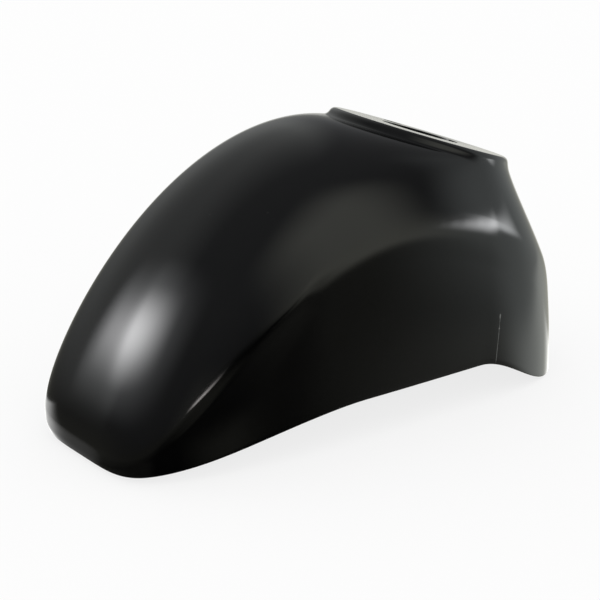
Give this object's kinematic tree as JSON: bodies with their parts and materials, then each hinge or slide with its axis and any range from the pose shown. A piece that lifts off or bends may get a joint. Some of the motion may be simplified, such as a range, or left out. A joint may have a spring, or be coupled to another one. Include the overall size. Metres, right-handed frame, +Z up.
{
  "type": "motorcycle front mudguard",
  "caption": "Gloss black moulded front mudguard with a rounded helmet-like crown, an arched rim, and a raised tilted platform pierced by a steering hole.",
  "frame": {"origin": "centre of the steering hole on the platform's top face", "axes": "+X forward to the nose, +Y to the rider's left, +Z up from the level the rim rests on"},
  "size_m": [0.473, 0.2232, 0.2478],
  "materials": {
    "black_plastic": "high gloss black, moulded and polished"
  },
  "bodies": {
    "root": {"mudguard_shell": "black_plastic"}
  },
  "joints": []
}
